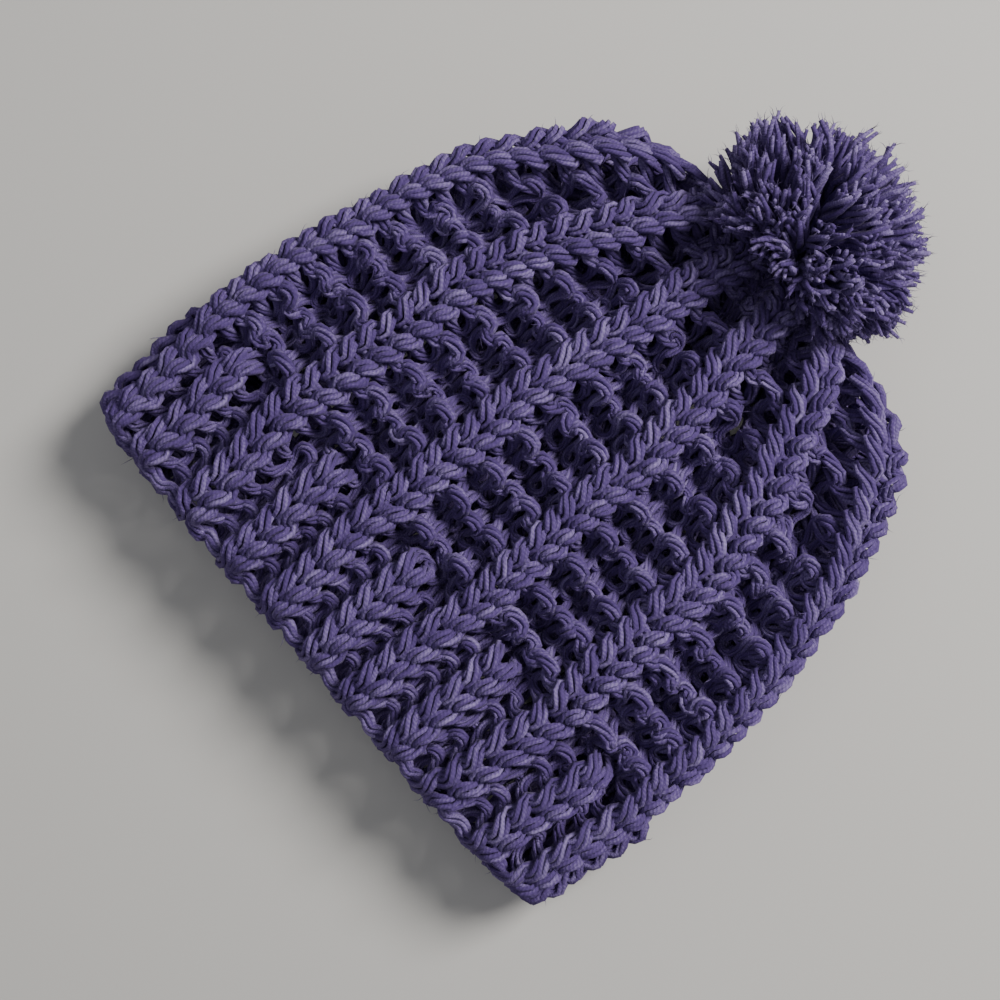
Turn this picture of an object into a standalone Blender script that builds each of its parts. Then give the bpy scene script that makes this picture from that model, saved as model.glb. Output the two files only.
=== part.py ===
"""A chunky knitted bobble hat, lying flat the way it is put down.

The brim, body and crown are knitted in the round as one piece, so they are one hollow
shell. A pompom sits on the gathered crown, held by the yarn that draws the crown shut.

The hat lies on its back layer. +Z is up and the underside rests at z = 0. +Y runs from
the open mouth to the crown, and +X to the right as seen from above. The origin is under
the brim's middle rib, halfway up the brim. All lengths are in metres.
"""
import math
import random
from collections import namedtuple

import bmesh
import bpy
from mathutils import Vector

# Sizes of the knitted shell
HAT_LENGTH = 0.212
HAT_WIDTH = 0.240
HAT_HEIGHT = 0.045
BRIM_DEPTH = 0.056
KNIT_WALL = 0.007
RIB_RELIEF = 0.0054
EDGE_ROUNDING = 0.0018
FLOOR_PRESS = 0.0015
RIB_COUNT = 12
RIDGE_COUNT = 9

# Sizes of the pompom, its tie and the gather that they share
PULL_HEIGHT = 0.0215
TIE_DIAMETER = 0.008
TIE_REACH = 0.018
KNOT_DIAMETER = 0.015
POMPOM_WIDTH = 0.090
POMPOM_HEIGHT = 0.081
POMPOM_DEPTH = 0.062
POMPOM_OVERHANG = 0.006
LOCK_LENGTH = 0.010
CLEARANCE = 0.0003

# Where the pompom's middle lies above the crown, as a share of POMPOM_DEPTH
SEAT_SHARE = 0.26

# How full the upper and lower halves of a cross section are, as superellipse powers
UPPER_FULLNESS = 3.3
LOWER_FULLNESS = 4.5

# Cross sections from the mouth to the gather. Along is a share of HAT_LENGTH, width of
# HAT_WIDTH, top and lift of HAT_HEIGHT. Cinch is how far a section is drawn to the gather.
Section = namedtuple("Section", "along width top lift cinch")
BODY_SECTIONS = (
    Section(0.000, 0.890, 0.86, 0.00, 0.00),
    Section(0.040, 0.938, 0.91, 0.00, 0.00),
    Section(0.120, 0.955, 0.96, 0.00, 0.00),
    Section(0.215, 0.978, 0.98, 0.00, 0.00),
    Section(0.345, 0.992, 1.00, 0.00, 0.00),
    Section(0.480, 0.965, 1.00, 0.00, 0.00),
    Section(0.610, 0.920, 0.99, 0.00, 0.00),
    Section(0.745, 0.868, 0.98, 0.00, 0.00),
    Section(0.810, 0.820, 0.97, 0.00, 0.00),
    Section(0.880, 0.762, 0.95, 0.01, 0.00),
    Section(0.925, 0.715, 0.93, 0.02, 0.00),
)
CROWN_SECTIONS = (
    Section(0.925, 0.715, 0.93, 0.02, 0.00),
    Section(0.964, 0.640, 0.90, 0.06, 0.00),
    Section(0.989, 0.570, 0.87, 0.12, 0.10),
    Section(1.000, 0.500, 0.84, 0.18, 0.42),
    Section(0.997, 0.480, 0.80, 0.24, 0.76),
    Section(0.985, 0.460, 0.76, 0.28, 1.00),
)
RIDGES_END = 0.900

# Rows across the brim as shares of BRIM_DEPTH. The long middle step is the flat that the
# hat rests on at the origin.
BRIM_ROWS = (0.00, 0.08, 0.30, 0.70, 0.94)

# Points across one rib repeat, as shares of the repeat from the main rib's middle, with
# the height of each as a share of RIB_RELIEF: in the brim, on a ridge and between ridges
Stitch = namedtuple("Stitch", "place brim ridge gap")
REPEAT = (
    Stitch(-0.11, 0.50, 0.50, 0.50),
    Stitch(0.11, 0.50, 0.50, 0.50),
    Stitch(0.25, -0.50, 0.14, -0.52),
    Stitch(0.40, 0.50, 0.02, -0.74),
    Stitch(0.60, 0.50, 0.02, -0.74),
    Stitch(0.75, -0.50, 0.14, -0.52),
)

Row = namedtuple("Row", "section pattern relief")


def blend(low, high, share):
    return low + (high - low) * share


def section_at(along):
    """Read the body table between its rows, along a smooth curve through them."""
    rows = BODY_SECTIONS
    place = min(max(along, rows[0].along), rows[-1].along)
    index = max(i for i in range(len(rows) - 1) if rows[i].along <= place)
    start = rows[index]
    end = rows[index + 1]
    before = rows[max(index - 1, 0)]
    after = rows[min(index + 2, len(rows) - 1)]
    span = end.along - start.along
    share = (place - start.along) / span
    values = [place]
    for column in ("width", "top", "lift", "cinch"):
        first = getattr(start, column)
        last = getattr(end, column)
        slope_in = (last - getattr(before, column)) / (end.along - before.along)
        slope_out = (getattr(after, column) - first) / (after.along - start.along)
        values.append(
            first * (1 + 2 * share) * (1 - share) ** 2
            + slope_in * span * share * (1 - share) ** 2
            + last * share**2 * (3 - 2 * share)
            + slope_out * span * share**2 * (share - 1)
        )
    return Section(*values)


def shell_rows():
    """List the rows of the shell from the mouth to the gather."""
    brim_end = BRIM_DEPTH / HAT_LENGTH
    rows = []
    for share in BRIM_ROWS:
        rows.append(Row(section_at(share * brim_end), "brim", 1.0))
    steps = 2 * RIDGE_COUNT
    for step in range(steps):
        along = blend(brim_end, RIDGES_END, (step + 0.5) / steps)
        rows.append(Row(section_at(along), "ridge" if step % 2 else "gap", 1.0))
    for section in CROWN_SECTIONS:
        rows.append(Row(section, "ridge", 1.0 - section.cinch))
    return rows


def section_loop(section):
    """Trace one cross section as closely spaced points (x, z) from the middle underneath."""
    half_width = section.width * HAT_WIDTH / 2
    low = section.lift * HAT_HEIGHT - FLOOR_PRESS
    high = section.top * HAT_HEIGHT
    middle = (low + high) / 2
    half_height = (high - low) / 2
    gather = TIE_DIAMETER / 2 + CLEARANCE
    steps = 480
    loop = []
    for step in range(steps + 1):
        angle = 2 * math.pi * step / steps - math.pi / 2
        across = math.cos(angle)
        up = math.sin(angle)
        power = 2 / (UPPER_FULLNESS if up > 0 else LOWER_FULLNESS)
        x = half_width * math.copysign(abs(across) ** power, across)
        z = middle + half_height * math.copysign(abs(up) ** power, up)
        x = blend(x, gather * across, section.cinch)
        z = blend(z, PULL_HEIGHT + gather * up, section.cinch)
        loop.append((x, z))
    return loop


def spread_around(loop, places):
    """Find the points of a loop at the given shares of its length."""
    lengths = [0.0]
    for (x0, z0), (x1, z1) in zip(loop, loop[1:]):
        lengths.append(lengths[-1] + math.hypot(x1 - x0, z1 - z0))
    points = []
    index = 0
    for place in places:
        target = place * lengths[-1]
        while lengths[index + 1] < target:
            index += 1
        share = (target - lengths[index]) / (lengths[index + 1] - lengths[index])
        points.append(tuple(blend(a, b, share) for a, b in zip(loop[index], loop[index + 1])))
    return points


def stitch_places():
    """List where the points of every repeat lie round the shell, with their heights."""
    places = []
    for rib in range(RIB_COUNT):
        for stitch in REPEAT:
            places.append((((rib + 0.5 + stitch.place) / RIB_COUNT) % 1.0, stitch))
    return sorted(places, key=lambda entry: entry[0])


def knitted_grid():
    """Lay out the shell's outer surface as rows of points with the knit in relief."""
    rows = shell_rows()
    places = stitch_places()
    base = []
    for row in rows:
        y = row.section.along * HAT_LENGTH - BRIM_DEPTH / 2
        ring = spread_around(section_loop(row.section), [place for place, _ in places])
        base.append([Vector((x, y, z)) for x, z in ring])
    count = len(places)
    grid = []
    for i, row in enumerate(rows):
        line = []
        for j, (_, stitch) in enumerate(places):
            along = base[min(i + 1, len(rows) - 1)][j] - base[max(i - 1, 0)][j]
            around = base[i][(j + 1) % count] - base[i][j - 1]
            outward = along.cross(around).normalized()
            height = getattr(stitch, row.pattern) * row.relief * RIB_RELIEF
            if i == 0:
                height -= EDGE_ROUNDING
            point = base[i][j] + outward * height
            point.z = max(point.z, 0.0)
            line.append(point)
        grid.append(line)
    return grid


def plain_material(name, colour, roughness):
    material = bpy.data.materials.new(name)
    material.use_nodes = True
    shader = material.node_tree.nodes["Principled BSDF"]
    shader.inputs["Base Color"].default_value = (*colour, 1.0)
    shader.inputs["Roughness"].default_value = roughness
    shader.inputs["Metallic"].default_value = 0.0
    return material


def mesh_object(name, mesh, collection, material=None):
    piece = bpy.data.objects.new(name, mesh)
    collection.objects.link(piece)
    if material:
        mesh.materials.append(material)
    return piece


def shaped_points(piece):
    """Read a piece's points as its modifiers leave them."""
    bpy.context.view_layer.update()
    shaped = piece.evaluated_get(bpy.context.evaluated_depsgraph_get())
    return [piece.matrix_world @ vertex.co for vertex in shaped.data.vertices]


def build_shell(collection, material):
    """Loft the ribbed surface through its unlike sections and give it the knit's wall."""
    grid = knitted_grid()
    bm = bmesh.new()
    rings = [[bm.verts.new(point) for point in line] for line in grid]
    for lower, upper in zip(rings, rings[1:]):
        for j in range(len(lower)):
            k = (j + 1) % len(lower)
            bm.faces.new((lower[j], upper[j], upper[k], lower[k]))
    mesh = bpy.data.meshes.new("knit_shell")
    bm.to_mesh(mesh)
    bm.free()
    mesh.shade_smooth()
    shell = mesh_object("knit_shell", mesh, collection, material)
    wall = shell.modifiers.new("knit wall", "SOLIDIFY")
    wall.thickness = KNIT_WALL
    wall.offset = -1.0
    wall.use_rim = True
    return shell


def build_pompom(collection, cutters, material, seat, crown_top):
    """Grow blunt locks from a head that is pressed flat on the crown at y = seat.

    Above crown_top the locks spill back over the crown's edge.
    """
    chance = random.Random(11)
    middle = Vector((0.0, seat + SEAT_SHARE * POMPOM_DEPTH, POMPOM_HEIGHT / 2))
    full = Vector((POMPOM_WIDTH / 2, (1 - SEAT_SHARE) * POMPOM_DEPTH, POMPOM_HEIGHT / 2))
    head = full - Vector((LOCK_LENGTH, LOCK_LENGTH, LOCK_LENGTH))
    bm = bmesh.new()
    bmesh.ops.create_icosphere(bm, subdivisions=3, radius=1.0)
    for vertex in bm.verts:
        vertex.co += Vector(chance.uniform(-0.05, 0.05) for _ in range(3))
        vertex.co = middle + Vector(a * b for a, b in zip(vertex.co.normalized(), head))
        vertex.co.y = max(vertex.co.y, seat)
    clear_of_crown = crown_top + 2 * CLEARANCE
    free = []
    for face in bm.faces:
        above = min(vertex.co.z for vertex in face.verts) > clear_of_crown
        if above or face.calc_center_median().y > seat + CLEARANCE:
            free.append(face)
    locks = bmesh.ops.extrude_discrete_faces(bm, faces=free)["faces"]
    for lock in locks:
        above = min(vertex.co.z for vertex in lock.verts) > clear_of_crown
        furthest_back = seat - POMPOM_OVERHANG if above else seat
        centre = lock.calc_center_median()
        outward = (centre - middle).normalized()
        reach = LOCK_LENGTH * chance.uniform(0.70, 1.02)
        for vertex in lock.verts:
            vertex.co = centre + (vertex.co - centre) * 0.78 + outward * reach
            vertex.co.y = max(vertex.co.y, furthest_back)
            vertex.co.z = max(vertex.co.z, clear_of_crown if above else 0.0)
    mesh = bpy.data.meshes.new("pompom")
    bm.to_mesh(mesh)
    bm.free()
    pompom = mesh_object("pompom", mesh, collection, material)

    depth = TIE_REACH + 2 * CLEARANCE
    bpy.ops.mesh.primitive_cylinder_add(
        vertices=16,
        radius=TIE_DIAMETER / 2 + CLEARANCE,
        depth=2 * depth,
        location=(0.0, seat, PULL_HEIGHT),
        rotation=(math.pi / 2, 0.0, 0.0),
    )
    cutter = bpy.context.object
    cutter.name = "tie_socket_cutter"
    cutter.hide_render = True
    cutter.display_type = "WIRE"
    for home in list(cutter.users_collection):
        home.objects.unlink(cutter)
    cutters.objects.link(cutter)
    socket = pompom.modifiers.new("tie socket", "BOOLEAN")
    socket.operation = "DIFFERENCE"
    socket.object = cutter
    return pompom


def build_tie(collection, material, knot_face, end):
    """Turn the tie: a knot that bears on the gather from inside, and its stem."""
    stem = TIE_DIAMETER / 2
    knot = KNOT_DIAMETER / 2
    length = end - knot_face
    profile = (
        (0.0, length),
        (0.75 * stem, length),
        (stem, length - 0.3 * stem),
        (stem, 0.0),
        (0.88 * knot, 0.0),
        (knot, -0.30 * knot),
        (0.94 * knot, -0.65 * knot),
        (0.66 * knot, -1.05 * knot),
        (0.0, -1.22 * knot),
    )
    mesh = bpy.data.meshes.new("pompom_tie")
    points = [(radius, 0.0, height) for radius, height in profile]
    mesh.from_pydata(points, [(i, i + 1) for i in range(len(points) - 1)], [])
    tie = mesh_object("pompom_tie", mesh, collection, material)
    tie.location = (0.0, knot_face, PULL_HEIGHT)
    tie.rotation_euler = (-math.pi / 2, 0.0, 0.0)
    turn = tie.modifiers.new("turned", "SCREW")
    turn.angle = 2 * math.pi
    turn.screw_offset = 0.0
    turn.steps = 20
    turn.render_steps = 20
    turn.use_merge_vertices = True
    turn.merge_threshold = 0.00001
    return tie


def main():
    for leftover in list(bpy.data.objects):
        bpy.data.objects.remove(leftover)
    hat = bpy.data.collections.new("knitted_bobble_hat")
    cutters = bpy.data.collections.new("cutters")
    bpy.context.scene.collection.children.link(hat)
    bpy.context.scene.collection.children.link(cutters)

    shell_yarn = plain_material("shell yarn", (0.16, 0.13, 0.29), 0.92)
    pompom_yarn = plain_material("pompom yarn", (0.14, 0.11, 0.26), 0.92)
    tie_yarn = plain_material("tie yarn", (0.15, 0.12, 0.27), 0.92)

    shell = build_shell(hat, shell_yarn)
    points = shaped_points(shell)
    seat = max(point.y for point in points) + CLEARANCE
    # The wall's inner points come last, and the gather's ring is the last of them
    inner_ring = points[-RIB_COUNT * len(REPEAT):]
    knot_face = min(point.y for point in inner_ring) - CLEARANCE
    behind = seat - 2 * POMPOM_OVERHANG
    crown_top = max(point.z for point in points if point.y > behind)
    build_pompom(hat, cutters, pompom_yarn, seat, crown_top)
    build_tie(hat, tie_yarn, knot_face, seat + TIE_REACH)


main()
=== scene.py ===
# %% [markdown]
# # A chunky bobble hat, knitted in yarn
#
# The hat is knitted in the round from one thick, soft yarn: a ribbed brim, a body of
# knit columns with open garter ladders between them, and a crown that is gathered shut
# under a pompom. It lies flat on a pale floor and is seen from above.
#
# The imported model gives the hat's true form as smooth solids. This lesson dresses them:
# it lays real loops of plied yarn over the form, row by row, and fills the pompom's form
# with cut strands. Everything is computed from a few sizes, so each one can be changed.
# Lengths are in metres.

# %% Load the frame
import math

import bpy
import numpy as np
from mathutils import Matrix, Vector


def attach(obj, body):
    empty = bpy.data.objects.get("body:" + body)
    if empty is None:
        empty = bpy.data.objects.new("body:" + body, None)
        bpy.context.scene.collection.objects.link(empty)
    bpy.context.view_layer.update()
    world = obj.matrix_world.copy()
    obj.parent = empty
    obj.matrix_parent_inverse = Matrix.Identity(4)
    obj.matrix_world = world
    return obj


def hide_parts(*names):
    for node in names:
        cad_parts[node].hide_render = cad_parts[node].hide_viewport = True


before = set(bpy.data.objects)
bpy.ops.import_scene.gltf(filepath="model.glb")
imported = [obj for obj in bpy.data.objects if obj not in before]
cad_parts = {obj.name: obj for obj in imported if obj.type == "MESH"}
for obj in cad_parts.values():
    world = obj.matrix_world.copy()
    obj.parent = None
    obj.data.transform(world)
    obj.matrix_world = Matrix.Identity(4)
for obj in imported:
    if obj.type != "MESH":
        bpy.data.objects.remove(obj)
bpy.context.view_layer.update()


# %% [markdown]
# ## The form that the fabric follows
#
# The hat is a flattened tube that narrows to the gather. The form is a table of cross
# sections from the mouth to the gather, the same as the solid's: how far along each one
# lies, how wide it is, how high its upper layer lies, how far its underside lifts off the
# floor, and how far it is drawn to the gather. The last column is new: how far the fabric
# itself has run by then, because round the crown it runs inwards as well as along. A
# table was chosen over a sculpted mesh because every stitch can then ask it for a place.
#
# A soft hat never lies quite square. This one leans a little to the right towards the
# crown, its brim slants, and the left corner of the brim is spread, so three small
# nudges are added to the form.

# %% Sizes of the hat
HAT_LENGTH = 0.212
HAT_WIDTH = 0.240
HAT_HEIGHT = 0.045
BRIM_DEPTH = 0.056
FLOOR_PRESS = 0.0015
PULL_HEIGHT = 0.0215
TIE_DIAMETER = 0.008
TIE_SLACK = 0.0003
UPPER_FULLNESS = 3.3
LOWER_FULLNESS = 4.5

# along, width, top, lift, cinch, run of the fabric in metres
SECTIONS = np.array((
    (0.000, 0.890, 0.86, 0.00, 0.00, 0.0000),
    (0.040, 0.938, 0.91, 0.00, 0.00, 0.0085),
    (0.120, 0.955, 0.96, 0.00, 0.00, 0.0254),
    (0.215, 0.978, 0.98, 0.00, 0.00, 0.0456),
    (0.345, 0.992, 1.00, 0.00, 0.00, 0.0731),
    (0.480, 0.965, 1.00, 0.00, 0.00, 0.1018),
    (0.610, 0.920, 0.99, 0.00, 0.00, 0.1293),
    (0.745, 0.868, 0.98, 0.00, 0.00, 0.1579),
    (0.810, 0.820, 0.97, 0.00, 0.00, 0.1717),
    (0.880, 0.762, 0.95, 0.01, 0.00, 0.1866),
    (0.925, 0.715, 0.93, 0.02, 0.00, 0.1961),
    (0.964, 0.640, 0.90, 0.06, 0.00, 0.2060),
    (0.989, 0.570, 0.87, 0.12, 0.10, 0.2150),
    (1.000, 0.500, 0.84, 0.18, 0.42, 0.2260),
    (0.997, 0.480, 0.80, 0.24, 0.76, 0.2370),
    (0.985, 0.460, 0.76, 0.28, 1.00, 0.2450),
))
FABRIC_RUN = SECTIONS[-1, 5]
print("the fabric runs", round(1000 * FABRIC_RUN), "mm from the mouth to the gather")


# %% A smooth curve through a table
def smooth_through(places, values, wanted):
    """Read a table between its rows along a smooth curve through them."""
    slopes = np.gradient(values, places, axis=0)
    index = np.clip(np.searchsorted(places, wanted, side="right") - 1, 0, len(places) - 2)
    span = (places[index + 1] - places[index])[:, None]
    share = ((wanted - places[index]) / span[:, 0])[:, None]
    start, end = values[index], values[index + 1]
    slope_in, slope_out = slopes[index] * span, slopes[index + 1] * span
    return (
        start * (1 + 2 * share) * (1 - share) ** 2
        + slope_in * share * (1 - share) ** 2
        + end * share**2 * (3 - 2 * share)
        + slope_out * share**2 * (share - 1)
    )


# %% Trace one cross section
GRID_ROWS = 250
GRID_COLUMNS = 480
TRACE_POINTS = 1441


def ring_round(along, width, top, lift, cinch):
    """Trace one cross section with evenly spaced points, from the middle underneath."""
    angle = np.linspace(-math.pi / 2, 1.5 * math.pi, TRACE_POINTS)
    across, up = np.cos(angle), np.sin(angle)
    power = np.where(up > 0, 2 / UPPER_FULLNESS, 2 / LOWER_FULLNESS)
    low, high = lift * HAT_HEIGHT - FLOOR_PRESS, top * HAT_HEIGHT
    x = width * HAT_WIDTH / 2 * np.sign(across) * np.abs(across) ** power
    z = (low + high) / 2 + (high - low) / 2 * np.sign(up) * np.abs(up) ** power
    gather = TIE_DIAMETER / 2 + TIE_SLACK
    x += (gather * across - x) * cinch
    z += (PULL_HEIGHT + gather * up - z) * cinch
    run = np.concatenate(([0], np.cumsum(np.hypot(np.diff(x), np.diff(z)))))
    even = np.linspace(0, run[-1], GRID_COLUMNS, endpoint=False)
    y = np.full(GRID_COLUMNS, along * HAT_LENGTH - BRIM_DEPTH / 2)
    return np.stack((np.interp(even, run, x), y, np.interp(even, run, z)), axis=1)


# %% Lay out the form as a fine grid
ASKEW_ACROSS = 0.017
ASKEW_MIDDLE = 0.078
ASKEW_ALONG = 0.012
ASKEW_RUN = 0.12
CORNER_OUT = 0.035
CORNER_RUN = 0.016


def fade(run, end):
    """Fall from 1 at the edge of the mouth to 0 where the fabric has run to the end."""
    return np.clip(1 - run / end, 0, 1)[:, None]


runs = np.linspace(0, FABRIC_RUN, GRID_ROWS)
sections = smooth_through(SECTIONS[:, 5], SECTIONS[:, :5], runs)
form = np.array([ring_round(*section) for section in sections])
form[..., 0] += ASKEW_ACROSS * (form[..., 1] - ASKEW_MIDDLE) * (1 - sections[:, 4:5])
form[..., 0] *= 1 + CORNER_OUT * (form[..., 0] < 0) * fade(runs, CORNER_RUN)
form[..., 1] += ASKEW_ALONG * form[..., 0] * fade(runs, ASKEW_RUN)
around = np.roll(form, -1, axis=1) - np.roll(form, 1, axis=1)
outward = np.cross(np.gradient(form, axis=0), around)
outward /= np.linalg.norm(outward, axis=2, keepdims=True)
print("the form has", form.shape[0], "rings of", form.shape[1], "points")


# %% Ask the form for a place
def read_form(grid, run, turn):
    """Read the grid at a run of fabric in metres and a share of the way round."""
    row = np.clip(run / FABRIC_RUN * (GRID_ROWS - 1), 0, GRID_ROWS - 1.001)
    column = np.mod(turn, 1.0) * GRID_COLUMNS
    i, j = row.astype(int), column.astype(int) % GRID_COLUMNS
    a, b = (row - i)[:, None], (column - column.astype(int))[:, None]
    k = (j + 1) % GRID_COLUMNS
    lower = grid[i, j] * (1 - b) + grid[i, k] * b
    upper = grid[i + 1, j] * (1 - b) + grid[i + 1, k] * b
    return lower * (1 - a) + upper * a


# %% [markdown]
# ## How the stitches are laid out
#
# The hat is worked over a repeat of four stitches, twelve times round. The first is a
# column of knit stitches that runs unbroken from brim to crown. In the brim the third is
# a knit column too, with narrow purl columns sunk between them, which makes the ribbing.
# In the body the other three are knit and purled in turn, row by row: those are the
# garter ladders. Their ridges stand between the columns, with open gaps under them.
#
# One modelled stitch could be copied all over the form, but every copy would be the same
# width. Here a table gives, from a row onwards, what share of the repeat the knit column
# and the middle stitch take, and the two stitches beside the middle one share the rest.
# Near the crown the middle stitch is dropped first, then the other two are knitted
# together into one wide stitch, and in the end only the knit columns reach the gather.

# %% Rows of stitches
REPEATS = 12
BRIM_ROWS = 6
BODY_ROWS = 18
CROWN_ROWS = 7
FIRST_EDGE = 0.0036
BODY_END = 0.900 * HAT_LENGTH
LAST_EDGE = FABRIC_RUN - 0.001
row_edges = np.concatenate((
    np.linspace(FIRST_EDGE, BRIM_DEPTH, BRIM_ROWS + 1),
    np.linspace(BRIM_DEPTH, BODY_END, BODY_ROWS + 1)[1:],
    np.linspace(BODY_END, LAST_EDGE, CROWN_ROWS + 1)[1:],
))
ROWS = len(row_edges) - 1
print(ROWS, "rows of", 4 * REPEATS, "stitches, about", round(ROWS * 4 * REPEATS, -1), "loops")

# %% Columns of stitches
# row, share of the knit column, share of the middle stitch
LAYOUT = np.array((
    (0.0, 0.285, 0.285),
    (4.8, 0.285, 0.285),
    (6.4, 0.315, 0.200),
    (12.0, 0.335, 0.190),
    (16.5, 0.365, 0.175),
    (19.0, 0.405, 0.120),
    (20.5, 0.440, 0.020),
    (23.5, 0.560, 0.020),
    (25.8, 0.660, 0.020),
    (28.0, 0.680, 0.020),
    (29.5, 0.920, 0.020),
    (31.0, 0.960, 0.020),
))
DROPPED = 0.07
MERGE_ROW = 21
MERGED_AND_KNIT = 0.96


def stitch_layout(stitch, rows, merged):
    """Give the place and width of one of the four stitches, as shares of the repeat."""
    knit = np.interp(rows, LAYOUT[:, 0], LAYOUT[:, 1])
    middle = MERGED_AND_KNIT - knit if merged else np.interp(rows, LAYOUT[:, 0], LAYOUT[:, 2])
    side = (1 - knit - middle) / 2
    beside = (knit + side) / 2
    places = (0 * knit, beside, 0 * knit + 0.5, 1 - beside)
    return places[stitch], (knit, side, middle, side)[stitch]


def is_knit(row, stitch):
    """Say if a stitch shows its knit side on the outside."""
    if stitch == 0:
        return True
    if row < BRIM_ROWS:
        return stitch == 2
    return (row - BRIM_ROWS) % 2 == 0


# %% [markdown]
# ## The relief that the stitches make
#
# A ribbed fabric isn't flat. The knit columns stand up as fat ropes, and what lies
# between them sinks. In the brim that is a narrow groove of purl stitches. In the body it
# is the ladder, which rises to a ridge at every second row and falls in a deep gap
# between. The edge of the mouth curls under. A displacement could push a finished mesh
# about like this, but thin yarn would tear. One function gives the relief for any place
# in the repeat instead, before there is any yarn, so that neighbours meet without a step.

# %% Sizes of the relief
RIB_RISE = 0.0010
GROOVE = 0.0100
LADDER_SINK = (0.0068, 0.0098)
LADDER_SWING = 0.0038
MIDDLE_DIP = 0.0064
FOLD_DIP = 0.0050
CURL_UNDER = 0.0050
CROWN_FILL = 0.6

# heights in rows between which something changes
GROOVE_TO_LADDER = (5.6, 6.2)
SECOND_RIB_ENDS = (5.6, 6.3)
LADDER_SINKS = (10, 20)
CROWN_CLOSES = (26.5, 30.0)
CURL_ROWS = 0.9

# places between which something fades: in the knit column, in the repeat, round the hat
RIB_SIDE = (0.32, 0.64)
MIDDLE_SIDE = (0.03, 0.13)
FOLD_SIDE = (0.01, 0.05)


# %% The relief at any place
def ease(low, high, value):
    """Climb smoothly from 0 to 1 as the value goes from low to high."""
    share = np.clip((value - low) / (high - low), 0, 1)
    return share * share * (3 - 2 * share)


def relief_at(place, height, turn):
    """Give how far the fabric stands out at a place in the repeat and a height in rows."""
    knit = np.interp(height - 0.5, LAYOUT[:, 0], LAYOUT[:, 1])
    off = np.abs(np.mod(place + 0.5, 1.0) - 0.5)
    near, far = RIB_SIDE[0] * knit, RIB_SIDE[1] * knit
    second = (1 - ease(near, far, 0.5 - off)) * (1 - ease(*SECOND_RIB_ENDS, height))
    rib = np.maximum(1 - ease(near, far, off), second)
    ridge = np.sin(math.pi / 2 * -np.cos(math.pi * (height - BRIM_ROWS)))
    dip = MIDDLE_DIP * (1 - ease(*MIDDLE_SIDE, 0.5 - off))
    dip += FOLD_DIP * (1 - ease(*FOLD_SIDE, np.abs(np.mod(turn, 0.5) - 0.25)))
    ladder = -np.interp(height, LADDER_SINKS, LADDER_SINK) + LADDER_SWING * ridge - dip
    body = ease(*GROOVE_TO_LADDER, height)
    low = ladder * body - GROOVE * (1 - body)
    crown = ease(*CROWN_CLOSES, height)
    curl = CURL_UNDER * np.clip(1 - height / CURL_ROWS, 0, 1) ** 2
    return RIB_RISE * rib + low * (1 - rib) * (1 - CROWN_FILL * crown) - curl


for what, spot in (("ridge", (0.5, 13.0, 0.0)), ("gap", (0.5, 14.0, 0.0))):
    depth = -1000 * relief_at(*(np.array([part]) for part in spot))[0]
    print("in the body a ladder's", what, "lies", round(depth, 1), "mm deep")

# %% [markdown]
# ## The path of one loop
#
# A knitted stitch is a loop of the row's yarn. It dips to its sinker at each side, comes
# in to its foot, climbs in two legs that lean outwards, and closes over the top in its
# head. Each loop is pulled through the one below. Where it comes through to the outside
# it shows as a V of two short legs: a knit stitch. Where it goes through to the inside,
# its head and sinkers show as bumps: a purl stitch. So the whole fabric is a matter of
# how far out and how far forward the yarn runs on its way up, and a small table for each
# kind of stitch says so. Two knit or two purl rows lock in columns, and a knit row on a
# purl row makes a garter ridge by itself. Loops drawn by hand as curves could look as
# good, but there are well over a thousand of them.

# %% The four kinds of loop
# marks on the way from the sinker, 0, to the head, 1: how far out the yarn runs there, as
# a share of the stitch's width, and how far forward
LOOPS = {
    "column": np.array((
        (0.00, 0.50, -1.0), (0.16, 0.30, -1.0), (0.30, 0.08, -0.5), (0.41, 0.14, 0.8),
        (0.58, 0.33, 1.2), (0.71, 0.42, 0.2), (0.84, 0.34, -0.9), (1.00, 0.00, -1.0),
    )),
    "groove": np.array((
        (0.00, 0.50, 0.6), (0.22, 0.34, 0.4), (0.37, 0.18, -0.6), (0.50, 0.20, -1.0),
        (0.63, 0.32, -0.6), (0.78, 0.40, 0.4), (1.00, 0.00, 0.6),
    )),
    "ridge above": np.array((
        (0.00, 0.50, -1.0), (0.22, 0.26, -1.0), (0.37, 0.14, -1.0), (0.50, 0.20, -0.9),
        (0.63, 0.38, -0.4), (0.78, 0.45, 0.6), (1.00, 0.00, 1.3),
    )),
    "ridge below": np.array((
        (0.00, 0.50, -0.3), (0.22, 0.30, -0.4), (0.37, 0.16, -0.9), (0.50, 0.16, -1.0),
        (0.63, 0.24, -1.0), (0.78, 0.30, -1.0), (1.00, 0.00, -1.0),
    )),
}


def kind_of(row, stitch):
    """Name the way a stitch is worked, from it and the one that is pulled through it."""
    low, high = is_knit(row, stitch), is_knit(row + 1, stitch)
    if low == high:
        return "column" if low else "groove"
    return "ridge above" if low else "ridge below"


print("stitches are of these kinds:", ", ".join(LOOPS))


# %% [markdown]
# ## The slips of a hand
#
# Hand knitting strays. Columns sway as they climb, rows rise and fall as they go round,
# and near the crown everything is drawn together: the columns of each face crowd inwards,
# and the outer ones turn onto the folds. A few slow waves do this. Noise could too, but
# waves close up exactly where a round ends.


# %% Let the columns and rows stray
# how far, how fast with the height, and how much each column differs from the next
COLUMN_WAVES = ((0.018, 0.61, 1.0), (0.012, 1.37, 2.3))
# how far, how often round the hat, and how fast with the height
ROW_WAVES = ((0.12, 3, 0.21), (0.08, 8, -0.33))
WAVES_START = (0.5, 4.0)
WAVES_END = (24.0, 27.0)


def column_wander(stitch, repeat, height):
    """Let each column stray a little as it climbs."""
    own = 5.1 * repeat + 1.7 * stitch
    return sum(far * np.sin(height * fast + differs * own) for far, fast, differs in COLUMN_WAVES)


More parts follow.
